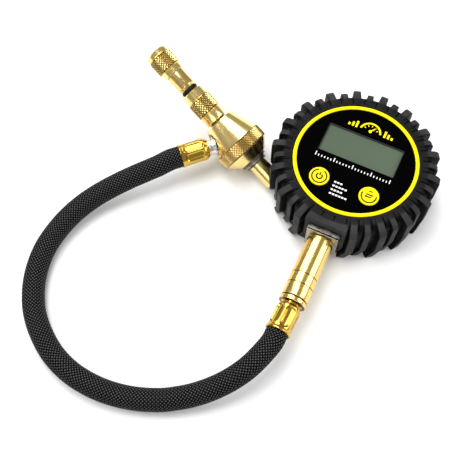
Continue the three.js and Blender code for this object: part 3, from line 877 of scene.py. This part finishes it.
def add_boot():
    columns = boot_columns()
    points = []
    relief = []
    rows = len(boot_rows(BIG_TIP))
    for j in range(rows):
        for angle, share, tip, slit in columns:
            groove, lug, rim = map(Vector, boot_rows(tip)[j])
            away = math.radians(abs((angle + 90 + 180) % 360 - 180))
            plain = rim_share(away)
            if rim.x > 44:  # the rim's front is flat, not round
                rim.x /= math.cos(min(away, 0.35))
            r, z = groove.lerp(lug, share).lerp(rim, plain)
            sunk = slit and 39.5 < r < (42.6 if plain else 45) and z > 31
            if sunk:
                z -= SLIT_DEPTH
            outer = min(1.0, max(0.0, (r - TREAD_START) / 2))
            lean = outer * max(0.0, BEND_START - z) * BEND_SLOPE / TREAD_RADIUS
            turn = math.radians(angle) - lean
            points.append((r * math.cos(turn), r * math.sin(turn), z))
            relief.append(boot_relief(sunk, r, max(share, plain) == 1))
    count = len(columns)
    faces = []
    for j in range(rows - 1):
        for i in range(count):
            nxt = (i + 1) % count
            row, above = j * count, (j + 1) * count
            faces.append((row + i, row + nxt, above + nxt, above + i))
    faces.append(tuple(reversed(range(count))))
    faces.append(tuple(range((rows - 1) * count, rows * count)))
    mesh = mesh_of("tread_boot", points, faces)
    add_relief(mesh, relief)
    boot = link("tread_boot", mesh, GAUGE, "gauge", MATERIALS["rubber"], 40)
    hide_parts("rubber_boot")
    side = 2 * BLOCK_HALF + 0.6
    cut_away(boot, box_mesh((side, side, 24)), STEM @ Matrix.Translation((0, 0, 50 * MM)))
    hollow = lathe("cutter", [(0, -30.7), (6.3, -30.7), (6.3, -10.3), (0, -10.3)], 48)
    cut_away(boot, hollow, HEAD)
    crease(boot, 16)


add_boot()

# ---------------------------------------------------------------- gauge face


def window_outline(grow=0.0):
    x, y, width, height = WINDOW
    return rectangle(x, y, width + 2 * grow, height + 2 * grow, 0.8)


def add_face():
    bores = [circle(side * BUTTON_X, BUTTON_Y, BUTTON_BORE) for side in (-1, 1)]
    loops = [circle(0, 0, LABEL_RADIUS, 128), window_outline(), *bores]
    mesh = plate("face_plate", loops, 33.0, LABEL_TOP, 0.12)
    label = link("face_plate", mesh, GAUGE, "gauge", MATERIALS["black"])
    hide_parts("face_label")
    outline = [(35.35, 33.0), (37.65, 33.0), (37.65, 33.7), (37.2, 34.0), (35.8, 34.0), (35.35, 33.7)]
    ring = link(
        "yellow_ring",
        lathe("yellow_ring", fillet(outline, 0.2, 3, closed=True), 160),
        GAUGE,
        "gauge",
        MATERIALS["yellow"],
    )
    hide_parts("face_ring")
    x, y, width, height = WINDOW
    frame_loops = [window_outline(-0.05), rectangle(x, y - 0.2, width - 1.2, height - 1.6, 0.5)]
    surround = plate("window_surround", frame_loops, 31.8, 32.5, 0.1)
    link("window_surround", surround, GAUGE, "gauge", MATERIALS["bezel"])
    panel = plate("lcd_glass", [window_outline(-0.3)], 30.6, 31.75, 0.1)
    glass = link("lcd_glass", panel, GAUGE, "gauge", MATERIALS["lcd"])
    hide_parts("lcd_window")


def add_print():
    """Generic marks: a gauge pictogram, a scale of ticks and four rows of dots."""
    low, high = LABEL_TOP - 0.02, LABEL_TOP + 0.05
    yellow = []
    cx, cy = PICTOGRAM
    yellow.append(plate("m", [arc_band(cx, cy, 5.7, 6.8, 8, 172)], low, high))
    for degrees in (30, 60, 90, 120, 150):
        c, s = math.cos(math.radians(degrees)), math.sin(math.radians(degrees))
        mark = stroke(cx + 3.9 * c, cy + 3.9 * s, cx + 5.0 * c, cy + 5.0 * s, 0.55)
        yellow.append(plate("m", [mark], low, high))
    yellow.append(plate("m", [circle(cx, cy + 0.6, 1.0, 24)], low, high))
    yellow.append(plate("m", [stroke(cx + 0.6, cy + 1.4, cx + 2.6, cy + 4.0, 0.7)], low, high))
    for side in (-1, 1):
        for k, tall in enumerate((4.6, 3.2, 1.8)):
            x = cx + side * (9.0 + 2.3 * k)
            yellow.append(plate("m", [rectangle(x, cy + tall / 2, 1.3, tall, 0.2)], low, high))
    mesh = joined("yellow_print", yellow)
    link("yellow_print", mesh, GAUGE, "gauge", MATERIALS["yellow"])
    white = []
    for k in range(SCALE_STEPS + 1):
        tall = 2.6 if k % 6 == 0 else 1.3
        x = SCALE_WIDTH * (k / SCALE_STEPS - 0.5)
        white.append(plate("m", [rectangle(x, -6.9 + tall / 2, 0.6, tall)], low, high))
    for row, dots in enumerate(DOT_ROWS):
        for k in range(dots):
            x = -5.6 + DOT_STEP * k
            y = -19.0 - ROW_STEP * row
            white.append(plate("m", [rectangle(x, y, 1.35, 1.05, 0.15)], low, high))
    mesh = joined("white_print", white)
    link("white_print", mesh, GAUGE, "gauge", MATERIALS["white"])


def add_button(name, side, marks):
    x = side * BUTTON_X
    place = Matrix.Translation((x * MM, BUTTON_Y * MM, 0))
    outline = [(0, 33.85), (3.0, 33.87), (5.2, 33.97), (6.0, 33.97, 0.35), (6.0, 30.3, 0)]
    outline += [(7.2, 30.3, 0), (7.2, 29.4, 0), (2, 29.4, 0), (2, 28.9, 0), (0, 28.9)]
    mesh = lathe(name + "_cap", fillet(outline, 0.6, 4), 72)
    cap = link(name + "_cap", mesh, place, name, MATERIALS["yellow"])
    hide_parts(name)
    parts = [plate("m", [loop], 33.8, 34.06) for loop in marks]
    ink = joined(name + "_mark", parts)
    link(name + "_mark", ink, place, name, MATERIALS["ink"])


def add_buttons():
    power = [
        arc_band(0, 0, 4.0, 4.8, 112, 428, 60),
        arc_band(0, 0, 1.3, 2.15, 125, 415, 36),
        rectangle(0, 1.7, 0.8, 2.0),
    ]
    add_button("power_button", -1, power)
    swap = [arc_band(0, 0, 4.0, 4.8, 165, 375, 60)]
    for flip in (-1, 1):
        y = 0.75 * flip
        swap.append(stroke(-1.9, y, 1.5, y, 0.7))
        tip = 2.4 * flip
        swap.append([(tip, y), (tip - 1.1 * flip, y + 0.75), (tip - 1.1 * flip, y - 0.75)])
    swap.append(rectangle(0, 3.1, 2.4, 0.6))
    add_button("units_button", 1, swap)


add_face()
add_print()
add_buttons()

# ---------------------------------------------------------------- stem


def squared(angle, half, height):
    """Distance to the edge of a square of the given half side, in the direction of angle."""
    return half / max(abs(math.cos(angle)), abs(math.sin(angle)))


def add_stem():
    groove = (BLOCK_FRONT - 1.3, BLOCK_FRONT - 0.35)
    sunk = BLOCK_HALF - 0.35
    outline = [(0, 31), (BLOCK_HALF, 31), (BLOCK_HALF, groove[0]), (sunk, groove[0] + 0.05)]
    outline += [(sunk, groove[1] - 0.05), (BLOCK_HALF, groove[1]), (BLOCK_HALF, BLOCK_FRONT - 0.2)]
    outline += [(BLOCK_HALF - 0.2, BLOCK_FRONT), (0, BLOCK_FRONT)]
    mesh = lathe("stem_block", outline, 8, squared)
    heights = [v.co.z / MM for v in mesh.vertices]
    # relief 0 in the groove paints it near-black: painted shade and a painted reflection of the dark
    # boot
    add_relief(mesh, [0.0 if groove[0] + 0.01 < z < groove[1] - 0.01 else 1.0 for z in heights])
    socket = link("stem_block", mesh, STEM, "gauge", MATERIALS["socket"])
    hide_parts("stem_socket")
    start = BLOCK_FRONT + GAP
    outline = [(4.8, start, 0), (STEM_RADIUS - 0.15, start, 0), (STEM_RADIUS, start + 0.3, 0.2)]
    for at in STEM_GROOVES:
        outline += [(STEM_RADIUS, at - 0.28, 0), (STEM_RADIUS - 0.3, at - 0.2, 0)]
        outline += [(STEM_RADIUS - 0.3, at + 0.2, 0), (STEM_RADIUS, at + 0.28, 0)]
    outline += [(STEM_RADIUS, STEM_END, 0.35), (4.8, STEM_END, 0)]
    tube = lathe("stem_sleeve", fillet(outline, 0.3, 3, closed=True), 96)
    # painted shade in the sleeve's two grooves
    shade_grooves(tube, STEM_RADIUS)
    sleeve = link("stem_sleeve", tube, STEM, "stem", MATERIALS["grooved"])
    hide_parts("stem_tube")
    outline = [
        (4.5, BLOCK_FRONT - 8, 0),
        (4.5, STEM_END + 0.15, 0),
        (7.0, STEM_END + 0.15, 0),
        (7.0, STEM_END + 0.75, 0),
        (STEM_RADIUS, STEM_END + 0.75, 0.2),
        (STEM_RADIUS, TAIL_END, 0.6),
        (4.0, TAIL_END, 0),
        (4.0, TAIL_END + 0.7, 0),
        (1.6, TAIL_END + 0.7, 0),
        (1.6, BLOCK_FRONT - 8, 0),
    ]
    mesh = lathe("tail_piece", fillet(outline, 0.3, 3, closed=True), 96)
    # painted shade in the swivel gap at the sleeve's end
    shade_grooves(mesh, STEM_RADIUS)
    tail = link("tail_piece", mesh, STEM, "gauge", MATERIALS["grooved"])
    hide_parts("hose_tail")


def pocket(angle, height, count, phase, middle, half_length, half_width, radius):
    """1 deep inside one of count long round-ended pockets pressed into a ferrule, 0 outside."""
    step = TAU / count
    offset = (angle - phase + step / 2) % step - step / 2
    across = offset * radius
    along = max(0.0, abs(height - middle) - (half_length - half_width))
    distance = math.hypot(across, along) - half_width
    share = min(1.0, max(0.0, 0.5 - distance / 1.1))
    return share * share * (3 - 2 * share)


def add_stem_ferrule():
    length = STEM_FERRULE_LENGTH
    outline = [
        (4.6, 0.4, 0),
        (6.0, 0.5, 0.3),
        (6.8, 1.3, 0.8),
        (7.15, 3.6, 1.5),
        (7.15, length - 2.2, 0.8),
        (7.75, length - 0.7, 0.5),
        (7.6, length, 0.2),
        (FERRULE_BORE, length, 0.1),
        (FERRULE_BORE, length - 2.5, 0),
        (4.6, length - 2.5, 0),
    ]
    profile = densified(fillet(outline, 0.3, 4, closed=True), 0.3)

    def pressed(angle, radius, height):
        if radius < 6.9 or height > length - 1.6:
            return radius
        deep = pocket(angle, height, 6, 0.25, length - 9.1, 6.2, 3.0, 7.1)
        return radius - 1.0 * deep * min(1.0, (radius - 6.9) / 0.12)

    mesh = lathe("stem_crimp", profile, 240, pressed)
    crimp = link("stem_crimp", mesh, STEM_FERRULE, "gauge", MATERIALS["gilt"], 50)
    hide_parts("stem_ferrule")


def add_head_ferrule():
    start, end = HEAD_FERRULE_START, HEAD_FERRULE_END
    outline = [
        (1.8, start, 0),
        (5.6, start, 0.4),
        (7.0, start + 2.6, 0.8),
        (7.05, end - 2, 0.5),
        (7.35, end, 0.15),
        (FERRULE_BORE, end, 0.1),
        (FERRULE_BORE, end - 2.5, 0),
        (1.8, end - 2.5, 0),
    ]
    profile = densified(fillet(outline, 0.3, 4, closed=True), 0.3)

    def pressed(angle, radius, height):
        if radius < 6.9:
            return radius
        middle = (start + end) / 2 + 0.1
        return radius - 0.8 * pocket(angle, height, 7, 0.2, middle, 6.0, 2.3, 7.0)

    mesh = lathe("head_crimp", profile, 240, pressed)
    crimp = link("head_crimp", mesh, PORT, "gauge", MATERIALS["gilt"], 50)
    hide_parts("head_ferrule")
    outline = [(1.6, 9.6, 0), (4.0, 9.6, 0), (4.0, PORT_FACE + 0.1, 0), (5.9, PORT_FACE + 0.1, 0.1)]
    outline += [(5.9, PORT_FACE + 1.0, 0.3), (4.9, PORT_FACE + 1.3, 0.2)]
    outline += [(4.9, start - 0.9, 0.2), (5.3, start - 0.6, 0.1)]
    outline += [(5.3, start - 0.1, 0), (1.6, start - 0.1, 0)]
    mesh = lathe("hose_nipple", fillet(outline, 0.2, 3, closed=True), 72)
    neck = link("hose_nipple", mesh, PORT, "gauge", MATERIALS["bright"])
    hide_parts("hose_neck")


add_stem()
add_stem_ferrule()
add_head_ferrule()

# ---------------------------------------------------------------- deflator head


def add_collar():
    before = [(COLLAR_BORE, 21.1), (COLLAR_BORE, -10.3), (9.9, -10.3), (10.3, -10.0)]
    before += [(15.4, -4.5), (15.8, -4.1)]
    after = [(15.8, 4.1), (15.6, 4.3), (10.0, 20.4), (9.5, 21.05), (9.3, 21.1)]
    mesh = knurled("cone_collar", COLLAR_BORE, 16.3, -4.0, 4.0, KNURL_PITCH, 0.65, before, after)
    collar = link("cone_collar", mesh, HEAD, "gauge", MATERIALS["knurl"], 30)
    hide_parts("slide_collar")
    seat = [(0, 9.7), (4.2, 9.7), (4.2, PORT_FACE), (7.0, PORT_FACE), (7.0, 30), (0, 30)]
    cut_away(collar, lathe("cutter", seat, 72), PORT)
    crease(collar, 30)
    nut = [(COLLAR_BORE, -14.2, 0), (6.7, -14.2, 0.15), (6.7, -11.9, 0), (8.7, -11.9, 0.2)]
    nut += [(8.7, -10.5, 0.2), (7.9, -10.4, 0), (7.9, -7.0, 0), (COLLAR_BORE, -7.0, 0)]
    mesh = lathe("gland_flange", fillet(nut, 0.2, 3, closed=True), 72)
    gland = link("gland_flange", mesh, HEAD, "gauge", MATERIALS["iron"])
    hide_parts("gland_nut")
    for name, node, inner, outer, low, high, slot, look in (
        ("bright_washer", "gland_washer", 6.9, 7.6, -13.0, -12.1, "nickel", "nickel"),
        ("dark_clip", "retaining_ring", 6.9, 7.2, -14.2, -13.3, "dark_steel", "iron"),
    ):
        outline = [(inner, low), (outer, low), (outer, high), (inner, high)]
        mesh = lathe(name, fillet(outline, 0.15, 3, closed=True), 64)
        piece = link(name, mesh, HEAD, "gauge", MATERIALS[look])
        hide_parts(node)


def add_valve_tube():
    before = [(TUBE_BORE, TUBE_FRONT), (TUBE_BORE, -16.2), (3.95, -16.2), (3.95, TUBE_END + 0.3)]
    before += [(4.2, TUBE_END), (5.3, TUBE_END), (TUBE_RADIUS - 0.05, -29.8), (TUBE_RADIUS, -29.4)]
    # relief 0 from 21.2 to 22.5 paints shade into the undercut where the grip meets the collar
    before += [(TUBE_RADIUS, 21.1), (TUBE_RADIUS, 21.2, 0.0), (TUBE_RADIUS, 22.5, 0.0)]
    before += [(7.1, 22.5, 0.0), (7.25, 22.6), (7.35, 22.8)]
    before += [(7.35, 28.6), (7.1, 28.95), (7.3, 29.1), (7.5, 29.25)]
    after = [(7.5, 39.35), (7.3, 39.5), (6.9, 39.6), (7.1, 39.8), (7.1, 45.2), (6.6, TUBE_FRONT)]
    mesh = knurled("grip_tube", TUBE_BORE, KNURL_RADIUS, 29.3, 39.3, KNURL_PITCH, 0.6, before, after)
    tube = link("grip_tube", mesh, HEAD, "valve_body", MATERIALS["knurl"], 30)
    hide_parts("valve_tube")


def add_rod():
    outline = [
        (0, -13.7, 0),
        (2.5, -13.7, 0),
        (2.5, 46.0, 0),
        (4.3, 46.0, 0),
        (4.3, 48.7, 0),
        (4.9, 48.7, 0),
        (5.85, 50.2, 0.3),
        (5.85, 60.75, 0.1),
        (3.0, 60.75, 0),
        (3.0, 68.0, 0),
        (0, 68.0, 0),
    ]
    mesh = lathe("pull_rod", fillet(outline, 0.2, 3), 72)
    rod = link("pull_rod", mesh, HEAD, "core_rod", MATERIALS["brass"])
    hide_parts("core_rod")
    before = [(5.9, 60.9), (6.6, 60.9), (6.85, 61.2), (6.85, 64.7), (7.2, 64.95), (7.5, 65.1)]
    after = [(7.5, 74.95), (7.2, 75.1), (6.95, 75.2), (7.25, 75.5), (7.25, 77.7), (6.5, 78.5)]
    after += [(5.6, 78.5), (5.3, 78.2), (0.5, 78.2)]
    mesh = knurled("rod_knob", 0, KNURL_RADIUS, 65.2, 74.8, KNURL_PITCH, 0.6, before, after)
    knob = link("rod_knob", mesh, HEAD, "core_rod", MATERIALS["knurl"], 30)
    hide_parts("pull_knob")


def add_seals():
    outline = []
    for k in range(16):
        angle = TAU * k / 16
        outline.append((5.0 + 0.62 * math.cos(angle), 47.35 + 1.2 * math.sin(angle)))
    mesh = lathe("o_ring", outline, 72)
    ring = link("o_ring", mesh, HEAD, "rod_carriage", MATERIALS["seal"])
    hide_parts("rod_seal")


add_collar()
add_valve_tube()
add_rod()
add_seals()

# ---------------------------------------------------------------- CAD pieces that stay

KEPT = {
    "black": (
        "case_shell",
        "battery_door",
        "front_housing",
        "battery_tray",
        "power_switch",
        "units_switch",
    ),
    "lcd": ("lcd_panel",),
    "white": ("backlight_panel",),
    "board": ("circuit_board",),
    "wrap": ("battery_1", "battery_2"),
    "nickel": ("battery_contact_left", "battery_contact_right"),
    "steel": (
        "case_screw_1",
        "case_screw_2",
        "case_screw_3",
        "case_screw_4",
        "pressure_sensor",
        "core_socket",
    ),
    "seal": ("zebra_strip", "inner_seal", "vent_seal", "gland_seal", "valve_gasket"),
}


def dress_kept_nodes():
    for look, names in KEPT.items():
        for name in names:
            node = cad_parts[name]
            node.data.materials.clear()
            node.data.materials.append(MATERIALS[look])


dress_kept_nodes()

# ---------------------------------------------------------------- floor and light


def add_stage():
    mesh = bpy.data.meshes.new("floor")
    reach = 3.0
    mesh.from_pydata(
        [(-reach, -reach, 0), (reach, -reach, 0), (reach, reach, 0), (-reach, reach, 0)],
        [],
        [(0, 1, 2, 3)],
    )
    floor = bpy.data.objects.new("floor", mesh)
    bpy.context.scene.collection.objects.link(floor)
    floor.location.z = -0.0001
    paper = Nodes("floor", (0.90, 0.90, 0.90), 0.9)
    paper.rough(paper.ramp(paper.noise(8, 2), 0.3, 0.7, 0.85, 0.95))
    mesh.materials.append(paper.material)


def area_light(name, location, target, size, power, stretch=1.0):
    data = bpy.data.lights.new(name, "AREA")
    data.shape = "RECTANGLE"
    data.size = size
    data.size_y = size * stretch
    data.energy = power
    light = bpy.data.objects.new(name, data)
    bpy.context.scene.collection.objects.link(light)
    light.location = location
    aim = Vector(target) - Vector(location)
    light.rotation_euler = aim.to_track_quat("-Z", "Y").to_euler()


def add_lights():
    middle = (-0.05, -0.05, 0)
    area_light("key", (-0.55, 0.45, 0.9), middle, 0.6, 8, 1.4)
    area_light("side", (0.75, 0.30, 0.52), middle, 0.5, 4.5, 1.3)
    area_light("top", (-0.25, 0.0, 1.15), middle, 0.5, 6)
    area_light("left", (-0.65, -0.45, 0.75), middle, 0.4, 3.5)
    area_light("front", (0.25, -0.9, 0.6), middle, 0.5, 2.5, 1.5)
    world = bpy.data.worlds.new("world")
    bpy.context.scene.world = world
    world.use_nodes = True
    world.node_tree.nodes["Background"].inputs["Color"].default_value = (1, 1, 1, 1)
    world.node_tree.nodes["Background"].inputs["Strength"].default_value = 0.36
    bpy.context.scene.view_settings.view_transform = "Standard"


add_stage()
add_lights()
